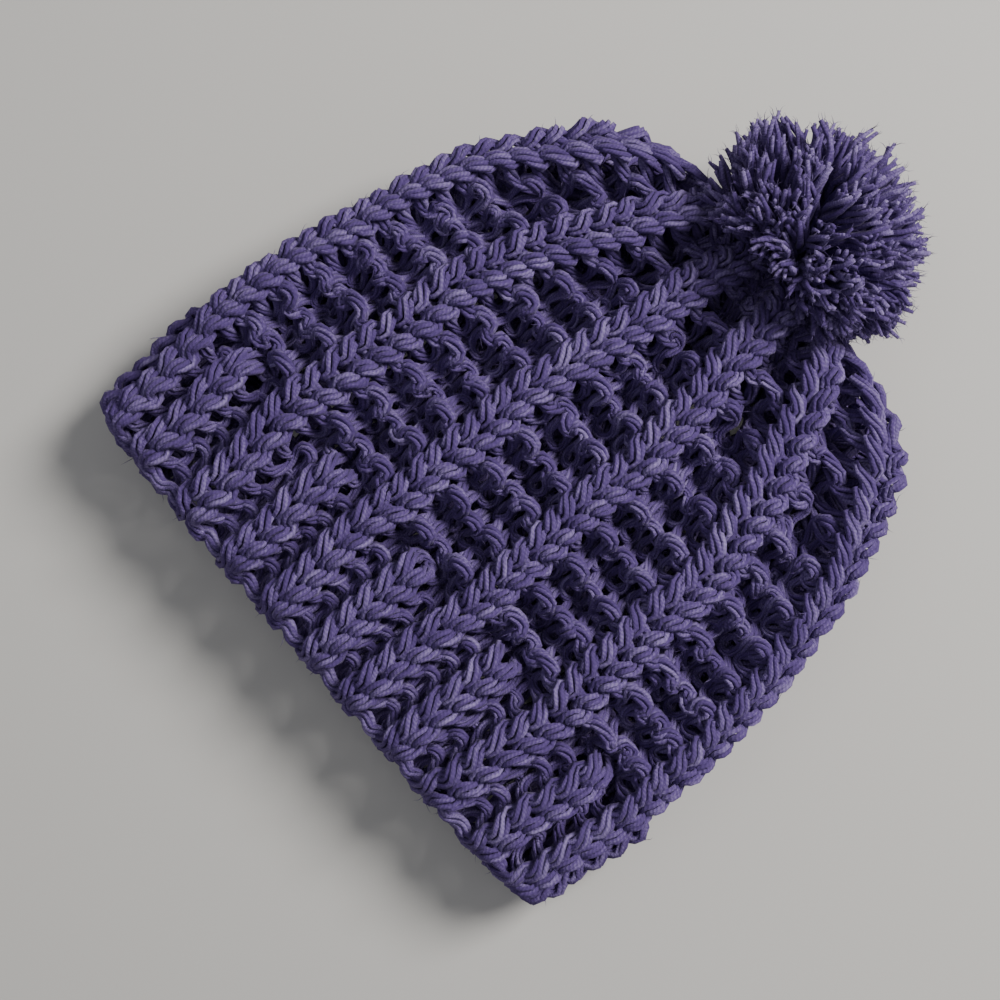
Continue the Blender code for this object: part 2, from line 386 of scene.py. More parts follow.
def row_wander(turn, height):
    """Let the rows rise and fall a little as they go round."""
    full = 2 * math.pi * turn
    wave = sum(far * np.sin(often * full + fast * height) for far, often, fast in ROW_WAVES)
    return wave * ease(*WAVES_START, height) * (1 - ease(*WAVES_END, height))


# %% Draw the columns together
PULL_ROWS = (16.0, 21.0, 25.0, ROWS)
PULLS = (0.0, 0.14, 0.28, 0.28)
TO_THE_FOLDS = 0.016
FOLD_ROWS = (21.0, 26.0)
FOLD_PULLS = (TO_THE_FOLDS, -0.8 * TO_THE_FOLDS)
FOLD_COLUMNS = (0.10, 0.18)


def draw_together(turn, height):
    """Draw the columns of each face inwards near the crown, and the outer ones to the folds."""
    off = np.mod(turn + 0.25, 0.5) - 0.25
    pull = np.interp(height, PULL_ROWS, PULLS)
    fold = np.interp(height, FOLD_ROWS, FOLD_PULLS)
    fold *= np.sin(math.pi * np.abs(off) / 0.25) ** 2 * np.sign(off)
    inwards = off * pull * (1 - (off / 0.25) ** 2)
    return turn - inwards + fold * ease(*FOLD_COLUMNS, np.abs(off))


def row_to_run(rows):
    """Turn a height in rows into metres of fabric, also just past the first edge."""
    run = np.interp(rows, np.arange(ROWS + 1), row_edges)
    return run + np.minimum(rows, 0) * (row_edges[1] - row_edges[0])


# %% Sizes of a loop
FINE_POINTS = 18
PLAIN_POINTS = 8
SEEN_TURNS = (0.19, 0.81)
LOOP_REACH = 0.72
COLUMN_REACH = 0.80
LOOP_DEPTH = 0.0020
LEAN = 0.03
SAG = 0.30
SAG_SPREAD = (0.5, 1.3)
SINKER_END = 0.35 * math.pi

# how much a loop differs from the next in reach, height, place and lift, and how many
# times more that is in the ladders
REACH_SPREAD = 0.03
HEIGHT_SPREAD = 0.06
PLACE_SPREAD = 0.03
LIFT_SPREAD = 0.0004
LADDER_LOOSE = 1.9

# some ladder stitches are half hidden, and no two are quite as wide
SUNK_SHARE = 0.24
SUNK_DEPTH = 0.0030
WIDE_SPREAD = 1.08

# yarn that is pulled deep is thin, and thinnest in the gaps that show
COLUMN_PLUMP = 0.95
LADDER_PLUMP = 0.82
THIN_LIFTS = (-0.012, -0.006)
THIN_YARN = 0.55
THIN_HIDDEN = 0.9
THIN_ROWS = 22

# the slips have a chance of their own, so that changing them leaves all else as it is
chance = np.random.default_rng(7)
slips = np.random.default_rng(3)


# %% Trace one stitch
def stitch_path(row, repeat, stitch):
    """Return the turn, height, lift and plumpness of the yarn along one stitch."""
    merged = row >= MERGE_ROW
    middle, width = stitch_layout(stitch, row, merged)
    if width < DROPPED:
        return np.zeros((4, 0))
    kind = kind_of(row, stitch)
    is_column = kind == "column"
    loose = 1.0 if is_column else LADDER_LOOSE
    seen = SEEN_TURNS[0] < (repeat + 0.5) / REPEATS < SEEN_TURNS[1]
    points = FINE_POINTS if seen else PLAIN_POINTS
    steps = (np.arange(points) + 0.5) / points * 2 * math.pi
    rise = (1 - np.cos(steps)) / 2
    reach = (COLUMN_REACH if is_column else LOOP_REACH) + chance.normal(0, REACH_SPREAD)
    height = row + 0.5 - reach * np.cos(steps) + chance.normal(0, HEIGHT_SPREAD * loose) * rise
    height += row_wander((repeat + 0.5 + middle) / REPEATS, height)
    swing, depth, sag = bend_loop(row, stitch, steps)
    height -= sag
    place, width = stitch_layout(stitch, height - 0.5, merged)
    place = place + width * (swing + chance.normal(0, PLACE_SPREAD * loose) * rise)
    turn = (repeat + 0.5 + place + column_wander(stitch, repeat, height)) / REPEATS
    lift = relief_at(place, height, turn) + LOOP_DEPTH * depth
    lift += chance.normal(0, LIFT_SPREAD * loose) * rise
    if not is_column and slips.random() < SUNK_SHARE:
        lift -= SUNK_DEPTH * rise
    thinnest = THIN_YARN if seen and row < THIN_ROWS else THIN_HIDDEN
    plump = np.interp(lift, THIN_LIFTS, (thinnest, 1.0))
    plump *= COLUMN_PLUMP if is_column else LADDER_PLUMP
    return draw_together(turn, height), height, lift, plump


# %% Bend the yarn of one loop
def bend_loop(row, stitch, steps):
    """Return how far out and forward the yarn runs, and how far its sinkers sag."""
    kind = kind_of(row, stitch)
    loop = LOOPS[kind]
    climbed = math.pi - np.abs(steps - math.pi)
    swing, depth = smooth_through(loop[:, 0] * math.pi, loop[:, 1:], climbed).T
    swing *= np.sign(steps - math.pi) * slips.uniform(2 - WIDE_SPREAD, WIDE_SPREAD)
    swing += LEAN * np.sin(climbed)
    sag = 0 * steps
    for side, beside in ((-1, stitch - 1), (1, stitch + 1)):
        near = np.where(np.sign(steps - math.pi) == side, 1 - ease(0, SINKER_END, climbed), 0)
        depth += near * (LOOPS[kind_of(row, beside % 4)][0, 2] - loop[0, 2]) / 2
        if kind == "ridge below":
            sag += SAG * near * chance.uniform(*SAG_SPREAD)
    return swing, depth, sag


# %% Put a row's yarn on the form
def place_on_form(turns, heights, lifts):
    """Put a row's yarn on the form, and ease the corners of its path."""
    run = row_to_run(heights)
    normal = read_form(outward, run, turns)
    path = read_form(form, run, turns) + normal * lifts[:, None]
    for _ in range(2):
        path = 0.6 * path + 0.2 * (np.roll(path, 1, axis=0) + np.roll(path, -1, axis=0))
    return path, normal


def row_path(row):
    """Return the row's yarn as a closed line: places, outward directions, plumpness."""
    parts = [stitch_path(row, repeat, stitch) for repeat in range(REPEATS) for stitch in range(4)]
    turns, heights, lifts, plump = np.concatenate(parts, axis=1)
    return (*place_on_form(turns, heights, lifts), plump)


# %% Cast on
CAST_ON_POINTS = 8
CAST_ON_HEIGHT = (-0.02, 0.12)
CAST_ON_LIFT = (-0.0070, 0.0012)
CAST_ON_PLUMP = 0.8


def cast_on_path():
    """Wrap the cast-on yarn once round the foot of every stitch of the first row."""
    steps = np.arange(4 * REPEATS * CAST_ON_POINTS) / CAST_ON_POINTS * 2 * math.pi
    turns = steps / (2 * math.pi * 4 * REPEATS)
    heights = CAST_ON_HEIGHT[0] + CAST_ON_HEIGHT[1] * np.sin(steps)
    lifts = CAST_ON_LIFT[0] + CAST_ON_LIFT[1] * np.cos(steps)
    return (*place_on_form(turns, heights, lifts), np.full(len(steps), CAST_ON_PLUMP))


# %% [markdown]
# ## Plied yarn
#
# The yarn is five soft strands twisted together, each about two millimetres thick. Under
# its own squeeze it is wider than it is deep. So each strand is a tube whose middle
# winds round the row's path on an ellipse, and the tubes touch as real strands do. Tubes
# in mesh code were chosen over curve objects with a bevel because the whole row can then
# be worked out at once, and each tube gets its own map for the twist in the material.

# %% Sizes of the yarn
STRANDS = 5
STRAND_RADIUS = 0.00114
SPREAD_WIDE = 0.0021
SPREAD_DEEP = 0.0010
TWIST_PITCH = 0.034
SWELL = 0.07
SWELL_BEAT = 190
TUBE_SIDES = 4
TUBE_TURN = 0.3


def unit(vectors):
    """Make every vector one long."""
    return vectors / np.linalg.norm(vectors, axis=-1, keepdims=True)


def spokes(first, second, count, start=0.0):
    """Point evenly round a path, in the plane of two directions across it."""
    angle = (np.arange(count) / count * 2 * math.pi + start)[:, None]
    return first[..., None, :] * np.cos(angle) + second[..., None, :] * np.sin(angle)


def press_on_floor(points, softness=0.0012):
    """Flatten what would sink into the floor, so that the soft yarn rests on it."""
    z = points[..., 2]
    points[..., 2] = (z + np.sqrt(z * z + softness * softness)) / 2
    return points


# %% Wind the strands round a path
def wind_strands(path, normal, plump):
    """Return the tubes' points as strands, points, sides, and the run along them."""
    forward = unit(np.roll(path, -1, axis=0) - np.roll(path, 1, axis=0))
    side = unit(np.cross(normal, forward))
    above = np.cross(forward, side)
    steps = np.linalg.norm(np.roll(path, -1, axis=0) - path, axis=1)
    run = np.concatenate(([0], np.cumsum(steps)))
    turns = round(run[-1] / TWIST_PITCH)
    twist = chance.uniform(0, 6) - 2 * math.pi * turns * run[:-1] / run[-1]
    spoke = spokes(side, above, TUBE_SIDES, TUBE_TURN)
    tubes = []
    for strand in range(STRANDS):
        phase = twist + 2 * math.pi * strand / STRANDS
        across = SPREAD_WIDE * plump * np.cos(phase)
        deep = SPREAD_DEEP * plump * np.sin(phase)
        middle = path + side * across[:, None] + above * deep[:, None]
        swell = 1 + SWELL * np.sin(run[:-1] * SWELL_BEAT + chance.uniform(0, 6))
        swell *= np.sqrt(plump)
        tubes.append(middle[:, None] + spoke * (STRAND_RADIUS * swell)[:, None, None])
    return press_on_floor(np.array(tubes)), run


# %% [markdown]
# ## From tubes to meshes
#
# Each mesh holds many tubes. It carries two maps. The first, `yarn`, gives the run along
# a strand in metres and the turn round it, and the finish follows it. The second,
# `OFBake`, gives every short length of strand a cell of its own, so that the finish can
# be baked. Blender could unwrap the tubes itself, but it would take minutes and lose the
# run. A tone for each strand lets the finish tell one from the next. On the pompom the tone
# also climbs along each strand, as painted shade at the root and painted light at the tip.

# %% Make one mesh
def mesh_piece(name, points, faces, yarn_map, tones):
    """Make an object from arrays, with the yarn's map and a tone at every point."""
    mesh = bpy.data.meshes.new(name)
    mesh.vertices.add(len(points))
    mesh.vertices.foreach_set("co", points.astype(np.float32).ravel())
    mesh.loops.add(faces.size)
    mesh.loops.foreach_set("vertex_index", faces.astype(np.int32).ravel())
    mesh.polygons.add(len(faces))
    starts = np.arange(0, faces.size, faces.shape[1], dtype=np.int32)
    mesh.polygons.foreach_set("loop_start", starts)
    layer = mesh.uv_layers.new(name="yarn")
    layer.data.foreach_set("uv", yarn_map.astype(np.float32).ravel())
    tone = mesh.attributes.new("tone", "FLOAT", "POINT")
    tone.data.foreach_set("value", tones.astype(np.float32))
    mesh.update(calc_edges=True)
    mesh.shade_smooth()
    piece = bpy.data.objects.new(name, mesh)
    bpy.context.scene.collection.objects.link(piece)
    print(name, "has", len(faces) * (faces.shape[1] - 2), "triangles")
    return piece


# %% Lay out the second map
CELLS_ACROSS = 16
CELL_EDGE = 0.04


def lay_out_cells(piece, cells, count):
    """Give a piece a second map, where each short length of strand has a cell of its own."""
    high = math.ceil(count / CELLS_ACROSS)
    flat = []
    for cell, corners in cells:
        spot = np.stack((cell % CELLS_ACROSS, cell // CELLS_ACROSS), axis=1)[:, None]
        flat.append((spot + CELL_EDGE + (1 - 2 * CELL_EDGE) * corners) / (CELLS_ACROSS, high))
    layer = piece.data.uv_layers.new(name="OFBake")
    layer.data.foreach_set("uv", np.concatenate(flat).astype(np.float32).ravel())
    return piece


# %% The quads of a tube
def tube_quads(rings, sides, closed):
    """Number a tube's quads: the ring and side of each one, and its four corners."""
    last = rings if closed else rings - 1
    ring, side = np.meshgrid(np.arange(last), np.arange(sides), indexing="ij")
    ring, side = ring.ravel(), side.ravel()
    here, ahead, beside = ring * sides, (ring + 1) % rings * sides, (side + 1) % sides
    return ring, side, np.stack((here + side, here + beside, ahead + beside, ahead + side), axis=1)


def quad_map(left, low, right, high):
    """Give each quad's four corners on a map, in the order of its face."""
    corners = (left, low, left, high, right, high, right, low)
    return np.stack(corners, axis=1).reshape(-1, 4, 2)


# %% Join many tubes
CELL_STEPS = 18


def join_tubes(name, rows):
    """Build a mesh from rows of closed tubes, with a map of run and angle on each."""
    points, faces, yarn_map, tones, cells = [], [], [], [], []
    start = cell = 0
    for tubes, run in rows:
        strands, count, sides, _ = tubes.shape
        ring, side, quads = tube_quads(count, sides, closed=True)
        left, low = (ring % CELL_STEPS) / CELL_STEPS, side / sides
        spots = quad_map(left, low, left + 1 / CELL_STEPS, low + 1 / sides)
        for strand in range(strands):
            points.append(tubes[strand].reshape(-1, 3))
            faces.append(quads + start)
            shift = chance.uniform(0, 5)
            run_here, run_ahead = run[ring] + shift, run[ring + 1] + shift
            yarn_map.append(quad_map(run_here, low, run_ahead, (side + 1) / sides))
            tones.append(np.full(count * sides, chance.uniform(0, 1)))
            cells.append((cell + ring // CELL_STEPS, spots))
            cell += math.ceil(count / CELL_STEPS)
            start += count * sides
    piece = mesh_piece(name, *map(np.concatenate, (points, faces, yarn_map, tones)))
    return lay_out_cells(piece, cells, cell)


# %% [markdown]
# ## Shader maths that reads like Python
#
# A finish is a net of nodes. It could be drawn by hand in the shader editor, but written
# as a sum it can be read and changed. A node's output is wrapped in a small class, so
# that an expression on values adds its Math nodes by itself. Every other node comes from
# one method, which sets its settings first and then its sockets.

# %% A socket that can be reckoned with
class Value:
    """One output of a shader node."""

    def __init__(self, finish, output):
        self.finish = finish
        self.output = output

    def maths(self, operation, *terms):
        """Add a Math node for an operation on some terms."""
        return self.finish.add("Math", {"operation": operation}, dict(enumerate(terms)))

    def __add__(self, other):
        return self.maths("ADD", self, other)

    def __radd__(self, other):
        return self.maths("ADD", other, self)

    def __sub__(self, other):
        return self.maths("SUBTRACT", self, other)

    def __rsub__(self, other):
        return self.maths("SUBTRACT", other, self)

    def __mul__(self, other):
        return self.maths("MULTIPLY", self, other)

    def __rmul__(self, other):
        return self.maths("MULTIPLY", other, self)

    def wave(self):
        """Swing from 0 to 1 and back for each whole turn of this value."""
        return self.maths("SINE", self * (2 * math.pi)) * 0.5 + 0.5

    def clamp(self):
        """Keep this value between 0 and 1."""
        return self.maths("MINIMUM", self.maths("MAXIMUM", self, 0.0), 1.0)


# %% A finish
class Finish:
    """A material whose nodes are added one by one."""

    def __init__(self, name):
        self.material = bpy.data.materials.new(name)
        self.material.use_nodes = True
        self.tree = self.material.node_tree
        self.shader = self.tree.nodes["Principled BSDF"]
        print("finish:", name)

    def plug(self, value, socket):
        """Link a value to a socket, or set the socket to a number or colour."""
        if isinstance(value, Value):
            self.tree.links.new(value.output, socket)
        else:
            socket.default_value = value

    def add(self, kind, settings, sockets, output=None):
        """Add a node: its settings first, then the values or links of its sockets."""
        node = self.tree.nodes.new("ShaderNode" + kind)
        for name, setting in settings.items():
            if name == "stops":
                self.set_stops(node.color_ramp.elements, setting)
            else:
                setattr(node, name, setting)
        shown = [socket for socket in node.inputs if socket.enabled]
        named = {socket.name: socket for socket in reversed(shown)}
        for name, value in sockets.items():
            self.plug(value, shown[name] if isinstance(name, int) else named[name])
        given = [socket for socket in node.outputs if socket.enabled]
        return Value(self, next(s for s in given if output in (None, s.name)))

    def set_stops(self, ramp, stops):
        """Give a colour ramp its stops."""
        while len(ramp) < len(stops):
            ramp.new(1.0)
        for stop, (place, colour) in zip(ramp, stops):
            stop.position = place
            stop.color = (*colour, 1.0)

    def set(self, **sockets):
        """Plug values into the shader's own sockets."""
        for name, value in sockets.items():
            self.plug(value, self.shader.inputs[name.replace("_", " ")])


# %% [markdown]
# ## The yarn's finish
#
# The yarn is matt and heathered: violet, with paler and greyer fibres spun in, so each
# strand differs a little. Close up, every strand is itself a tight little rope, and its
# ribs cross it about once a millimetre. A picture of yarn could be wrapped on, but it
# would repeat. Here the ribs follow the map that each tube carries, in metres along it
# and turns round it, so they run with the yarn whichever way it bends. The fuzz is a
# stretched noise on the same map. Both feed one Bump node. The ribs also feed the colour,
# as painted shade in the grooves between them and painted light on their crests. The soft
# glow at the edges of wool is a constant sheen on the shader. The pompom's cut yarn has
# less of a twist left, and its tone counts for more: painted shade darkens it at the root
# and painted light makes it paler at the tip.

# %% What all the violet finishes share
VIOLETS = (
    (0.15, (0.050, 0.030, 0.118)),
    (0.50, (0.105, 0.067, 0.211)),
    (0.85, (0.300, 0.235, 0.465)),
)
BUMP_STRENGTH = 0.8


def colour_as_wool(finish, share, fibres, height, depth):
    """Colour a finish from deep to pale violet by a share, and give it relief and fuzz."""
    colour = finish.add("ValToRGB", {"stops": VIOLETS}, {"Fac": share.clamp()})
    relief = {"Strength": BUMP_STRENGTH, "Distance": depth, "Height": height}
    bump = finish.add("Bump", {}, relief)
    finish.set(Base_Color=colour, Roughness=0.82 + 0.14 * fibres, Normal=bump)


# %% Violet yarn
RIB_PITCH = 0.00115
YARN_BUMP = 0.0003

# how fast each noise changes along the yarn, round it and from strand to strand
FIBRE_GRAIN = (260.0, 5.0, 40.0)
HEATHER_GRAIN = (55.0, 1.5, 60.0)


def yarn_finish(name, ribbing=0.30, tone_weight=0.20, darker=0.25):
    """Make the finish of a yarn that carries a map of its own run."""
    finish = Finish(name)
    place = finish.add("UVMap", {"uv_map": "yarn"}, {})
    run = finish.add("SeparateXYZ", {}, {"Vector": place}, "X")
    turn = finish.add("SeparateXYZ", {}, {"Vector": place}, "Y")
    tone = finish.add("Attribute", {"attribute_name": "tone"}, {}, "Fac")

    def noise(grain, scale, detail):
        spot = {"X": run * grain[0], "Y": turn * grain[1], "Z": tone * grain[2]}
        spot = finish.add("CombineXYZ", {}, spot)
        return finish.add("TexNoise", {}, {"Vector": spot, "Scale": scale, "Detail": detail})

    fibres = noise(FIBRE_GRAIN, 3.0, 3.0)
    heather = noise(HEATHER_GRAIN, 1.6, 2.0)
    ribs = (run * (1 / RIB_PITCH) + turn + fibres * 1.2).wave()
    # the ribs' share of the colour is painted shade in the grooves between ribs and painted light
    # on their crests
    share = heather * 0.75 + tone * tone_weight + fibres * 0.45 + ribs * 0.12 - darker
    colour_as_wool(finish, share, fibres, ribs * ribbing + fibres * 0.9, YARN_BUMP)
    finish.set(Sheen_Weight=0.12, Sheen_Roughness=0.45, Sheen_Tint=(0.70, 0.62, 0.86, 1.0))
    finish.set(Specular_IOR_Level=0.10)
    return finish.material


hat_yarn = yarn_finish("heathered violet yarn")
# the same yarn made darker, with its tone weighed more: painted shade at the pompom's roots and
# painted light at its tips
cut_yarn_painted_shade = yarn_finish("cut violet yarn, painted root shade and tip light", ribbing=0.08, tone_weight=0.75, darker=0.67)

# %% [markdown]
# ## Loose fibres
#
# Soft yarn is never clean: single fibres stand off every strand, and they blur its edge
# against the dark gaps. A shader can't change an edge, and a hair system would be lost in
# a plain mesh file, so each fibre is a thin closed spike of mesh with one bend. They grow
# only on the upper side, where they can be seen.

# %% Find where fibres grow
FIBRES_A_ROW = 200
FIBRE_LENGTH = (0.0018, 0.0050)
FIBRE_ROOT = 0.0002
SEEN_ABOVE = 0.012


def find_roots(tubes):
    """Pick places on the upper side of a row's yarn, and the way that a fibre leaves each."""
    tries = 4 * FIBRES_A_ROW
    strand, step, side = (chance.integers(0, size, tries) for size in tubes.shape[:3])
    middle = tubes.mean(axis=2)
    root = tubes[strand, step, side]
    out = unit(root - middle[strand, step])
    ahead = unit(middle[strand, (step + 1) % tubes.shape[1]] - middle[strand, step])
    way = 0.5 * out + ahead * chance.normal(0, 1, (tries, 1))
    way = unit(way + chance.normal(0, 0.25, (tries, 3)))
    seen = np.flatnonzero((root[:, 2] > SEEN_ABOVE) & (out[:, 2] > 0))[:FIBRES_A_ROW]
    lengths = chance.uniform(*FIBRE_LENGTH, len(seen))
    return root[seen] - FIBRE_ROOT * out[seen], way[seen], lengths


# %% The shape of a fibre
FIBRE_RADIUS = 0.00012
FIBRE_BEND = (0.55, 0.12)
FIBRE_TIP = (0.95, 0.45)
FIBRE_MAP = (0.004, 1)
FIBRE_TONES = (0.4, 1.0)
FIBRES_A_CELL = 8

# two rings of three points and a tip, and the triangles between them
FIBRE_POINTS = 7
FIBRE_FACES = [(0, 2, 1)]
for k, m in ((0, 1), (1, 2), (2, 0)):
    FIBRE_FACES += [(k, m, 3 + m), (k, 3 + m, 3 + k), (3 + k, 3 + m, 6)]
FIBRE_FACES = np.array(FIBRE_FACES)
FIBRE_CORNERS = np.stack((FIBRE_FACES // 3 / 2, FIBRE_FACES % 3 / 3), axis=-1)


# %% Lay fibres
def lay_fibres(name, roots, ways, lengths):
    """Make one mesh of thin closed spikes that bend once."""
    count = len(roots)
    bend = unit(np.cross(ways, chance.normal(0, 1, ways.shape)))
    spoke = spokes(bend, np.cross(ways, bend), 3)
    lengths = lengths[:, None]
    middle = roots + ways * FIBRE_BEND[0] * lengths + bend * FIBRE_BEND[1] * lengths
    tip = roots + ways * FIBRE_TIP[0] * lengths + bend * FIBRE_TIP[1] * lengths
    foot = roots[:, None] + FIBRE_RADIUS * spoke
    knee = middle[:, None] + 0.8 * FIBRE_RADIUS * spoke
    points = np.concatenate((foot, knee, tip[:, None]), axis=1)
    firsts = FIBRE_POINTS * np.arange(count)[:, None, None]
    shift = chance.uniform(0, 5, (count, 1, 1, 1)) * (1, 0)
    piece = mesh_piece(
        name,
        press_on_floor(points, softness=0.0002).reshape(-1, 3),
        (FIBRE_FACES + firsts).reshape(-1, 3),
        FIBRE_CORNERS * FIBRE_MAP + shift,
        np.repeat(chance.uniform(*FIBRE_TONES, count), FIBRE_POINTS),
    )
    cell = np.repeat(np.arange(count) // FIBRES_A_CELL, len(FIBRE_FACES))
    cells = [(cell, np.tile(FIBRE_CORNERS, (count, 1, 1)))]
    return lay_out_cells(piece, cells, math.ceil(count / FIBRES_A_CELL))


# %% [markdown]
# ## Knit the hat
#
# The real hat is one long yarn. Here each row is a closed round of its own, which looks
# the same and is simpler than a spiral. The rows are joined into five meshes, from the
# brim to the crown, so that each stays light enough to handle. All of them stand for the
# solid shell.

# %% Knit every row
PIECES = (
    ("brim_yarn", 0, 6),
    ("lower_body_yarn", 6, 12),
    ("middle_body_yarn", 12, 18),
    ("upper_body_yarn", 18, 24),
    ("crown_yarn", 24, ROWS),
)
fibres = []
for name, first, last in PIECES:
    rows = [wind_strands(*cast_on_path())] if first == 0 else []
    rows += [wind_strands(*row_path(row)) for row in range(first, last)]
    fibres += [find_roots(tubes) for tubes, _ in rows]
    piece = join_tubes(name, rows)
    piece.data.materials.append(hat_yarn)
    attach(piece, "root")
    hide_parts("knit_shell")

# %% Lay the hat's loose fibres
loose = lay_fibres("loose_fibres", *map(np.concatenate, zip(*fibres)))
loose.data.materials.append(hat_yarn)
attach(loose, "root")
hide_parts("knit_shell")

# %% [markdown]
# ## The pompom
#
# A pompom is a bundle of cut yarn tied round its middle. Its ends spread from the tie in
# all directions and are trimmed to a ball. This one rests against the crown and on the
# floor, so it is pressed flat on both. A particle system could grow it, but here every
# cut end of yarn is five tubes of mesh that are still twisted together inside, wave as
# one, spread at the tip and end in a blunt cut. So the ends clump, with dark gaps between
# them, as cut yarn does. The finish has painted shade at the root and painted light at the tip.

# %% Aim the cut ends of yarn
POMPOM_MIDDLE = np.array((-0.0006, 0.2015, 0.0405))
POMPOM_REACH = np.array((0.0440, 0.0370, 0.0395))
POMPOM_KNOT = np.array((0.0055, 0.1875, 0.0390))
YARN_ENDS = 520
BACK_OF_THE_BALL = -0.55
AIM_SPREAD = 0.13
TRIM = (0.80, 1.02)


def aim_ends():
    """Spread the cut ends over a ball, and say how far each one is trimmed."""
    index = np.arange(YARN_ENDS) + 0.5
    up = 1 - 2 * index / YARN_ENDS
    spin = math.pi * (1 + 5**0.5) * index
    flat = np.sqrt(1 - up * up)
    aim = np.stack((flat * np.cos(spin), up, flat * np.sin(spin)), axis=1)
    aim = aim[up > BACK_OF_THE_BALL]
    aim = unit(aim + chance.normal(0, AIM_SPREAD, aim.shape))
    start, way = (POMPOM_KNOT - POMPOM_MIDDLE) / POMPOM_REACH, aim / POMPOM_REACH
    along, size = np.sum(start * way, axis=1), np.sum(way * way, axis=1)
    reach = (np.sqrt(along**2 + size * (1 - np.sum(start * start))) - along) / size
    return press_on_crown(aim * (chance.uniform(*TRIM, len(aim)) * reach)[:, None])


# %% Press the ends on the crown
CROWN_END = 0.1880
CROWN_TOP = 0.044
OVER_THE_CROWN = 0.008
BEYOND_THE_CROWN = 0.001
WALL_SPREAD = 0.005
WALL_GIVE = 0.1


def press_on_crown(tip):
    """Push back the tips that would run into the crown, and return their aim and reach."""
    over = POMPOM_KNOT[2] + tip[:, 2] > CROWN_TOP
    wall = np.where(over, CROWN_END - OVER_THE_CROWN, CROWN_END + BEYOND_THE_CROWN)
    wall += chance.uniform(0, WALL_SPREAD, len(tip)) - POMPOM_KNOT[1]
    tip[:, 1] = np.where(tip[:, 1] < wall, wall + WALL_GIVE * (tip[:, 1] - wall), tip[:, 1])
    reach = np.linalg.norm(tip, axis=1)
    return tip / reach[:, None], reach


# %% Sizes of the strands
STRANDS_AN_END = 5
STRAND_STEPS = 9
STRAND_SIDES = 4
STRAND_START = 0.006
STRAND_TRIM = (0.93, 1.03)
END_BEND = 0.0050
END_WAVE = (0.0006, 0.0024)
END_BEAT = (5, 10)
PLY_SPREAD = 0.35
FRAY_SPREAD = (0.6, 1.4)
RADIUS_SPREAD = (0.75, 1.25)

# places along a strand, and how far it has frayed from its end's middle by then
FRAY_MARKS, FRAY = (0, 0.5, 1), (0.0006, 0.0013, 0.0026)
# places along a strand, and its radius there
RADIUS_MARKS, RADII = (0, 0.3, 0.8, 1.0), (0.0007, 0.00102, 0.00112, 0.00070)


# %% Twist the strands of every end
def strand_paths(share):
    """Return the strands' paths, the run along each and the way that each end curls."""
    aim, reach = aim_ends()
    ends = len(aim)
    curl = unit(np.cross(aim, chance.normal(0, 1, aim.shape)))
    other = np.cross(aim, curl)
    bend = chance.normal(0, END_BEND, (ends, 1)) * share**2
    wave = chance.uniform(*END_WAVE, (ends, 1))
    beat = chance.uniform(*END_BEAT, (ends, 1))
    sway = bend + wave * np.sin(chance.uniform(0, 6, (ends, 1)) + beat * share)
    own = np.repeat(np.arange(ends), STRANDS_AN_END)
    ply = np.tile(np.arange(STRANDS_AN_END), ends)
    reach = reach[own] * chance.uniform(*STRAND_TRIM, len(own))
    run = STRAND_START + (reach - STRAND_START)[:, None] * share
    phase = chance.uniform(0, 6, ends)[own] + 2 * math.pi * ply / STRANDS_AN_END
    phase = phase + chance.normal(0, PLY_SPREAD, len(own))
    phase = phase[:, None] + run / TWIST_PITCH * 2 * math.pi
    fray = np.interp(share, FRAY_MARKS, FRAY) * chance.uniform(*FRAY_SPREAD, (len(own), 1))
    path = POMPOM_KNOT + aim[own][:, None] * run[..., None]
    path += curl[own][:, None] * (sway[own] + fray * np.cos(phase))[..., None]
    path += other[own][:, None] * (fray * np.sin(phase))[..., None]
    return path, run, curl[own]


# %% Grow the strands
def grow_strands():
    """Return the strands' tubes and the run along each."""
    share = np.linspace(0, 1, STRAND_STEPS)
    path, run, curl = strand_paths(share)
    forward = unit(np.gradient(path, axis=1))
    side = unit(np.cross(forward, curl[:, None]))
    above = np.cross(side, forward)
    radius = np.interp(share, RADIUS_MARKS, RADII)
    radius = radius * chance.uniform(*RADIUS_SPREAD, (len(path), 1))
    spoke = spokes(side, above, STRAND_SIDES)
    tubes = path[:, :, None] + spoke * radius[..., None, None]
    return press_on_floor(tubes, softness=0.0008), run


# %% Join the strands
TONE_OWN = 0.40
# the tone climbs along each strand: painted shade at the root, painted light at the tip
PAINTED_TIP_LIGHT = 0.60
RUN_APART = 0.013
CAP_SPOT = np.array((((0.88, 0.2), (0.88, 0.8), (0.98, 0.8), (0.98, 0.2)),))


def join_strands(name, tubes, run):
    """Make one mesh of tubes with blunt cut ends."""
    count, steps, sides, _ = tubes.shape
    ring, side, quads = tube_quads(steps, sides, closed=False)
    quads = np.concatenate((quads, [(steps - 1) * sides + np.arange(sides)]))
    left, low = ring / steps, side / sides
    spots = quad_map(left, low, left + 1 / steps, low + 1 / sides)
    spots = np.concatenate((spots, CAP_SPOT))
    # painted light that grows towards the tip, over painted shade at the root
    rise = PAINTED_TIP_LIGHT * np.linspace(0, 1, steps) ** 3
    faces, yarn_map, tones, cells = [], [], [], []
    for strand in range(count):
        faces.append(quads + strand * steps * sides)
        along = run[strand] + strand * RUN_APART
        yarn_map.append(quad_map(along[ring], low, along[ring + 1], (side + 1) / sides))
        yarn_map.append(np.full((1, 4, 2), along[-1]))
        tones.append(np.repeat(TONE_OWN * chance.uniform(0, 1) + rise, sides))
        cells.append((np.full(len(spots), strand), spots))
    maps = map(np.concatenate, (faces, yarn_map, tones))
    return lay_out_cells(mesh_piece(name, tubes.reshape(-1, 3), *maps), cells, count)


